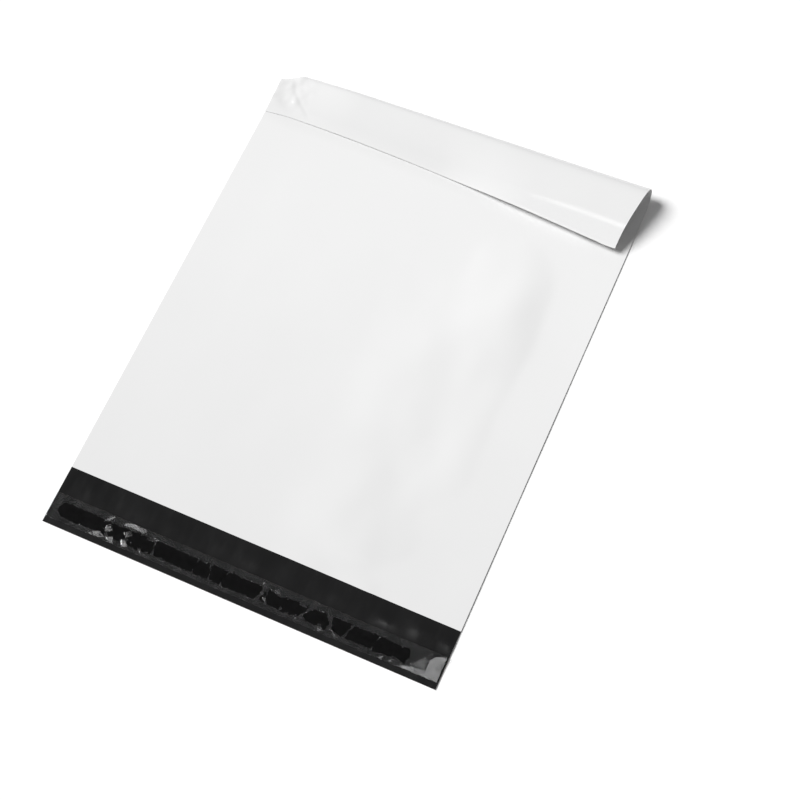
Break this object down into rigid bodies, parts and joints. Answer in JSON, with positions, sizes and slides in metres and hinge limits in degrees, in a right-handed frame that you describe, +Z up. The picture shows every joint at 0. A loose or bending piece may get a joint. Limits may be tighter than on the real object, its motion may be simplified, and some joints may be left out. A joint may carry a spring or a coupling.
{
  "type": "poly mailer bag",
  "caption": "Flat empty plastic film mailing bag, white outside and dark inside, with an open self-seal flap, glue band under a clear release liner, and its bottom end curled over.",
  "frame": {"origin": "centre of the underside of the bag's outer box, on the surface that the bag lies on", "axes": "+X across the bag, +Y along it from the open flap to the curled bottom, +Z up out of the front panel"},
  "size_m": [0.25, 0.3444, 0.0163],
  "materials": {
    "film": "white co-extruded polyethylene film with a soft gloss outside, near-black inside",
    "glue": "clear hot-melt glue wetted out on dark film",
    "liner": "clear glossy release film"
  },
  "bodies": {
    "root": {"mailer_film": "film", "adhesive_strip": "glue", "release_liner": "liner"}
  },
  "joints": []
}
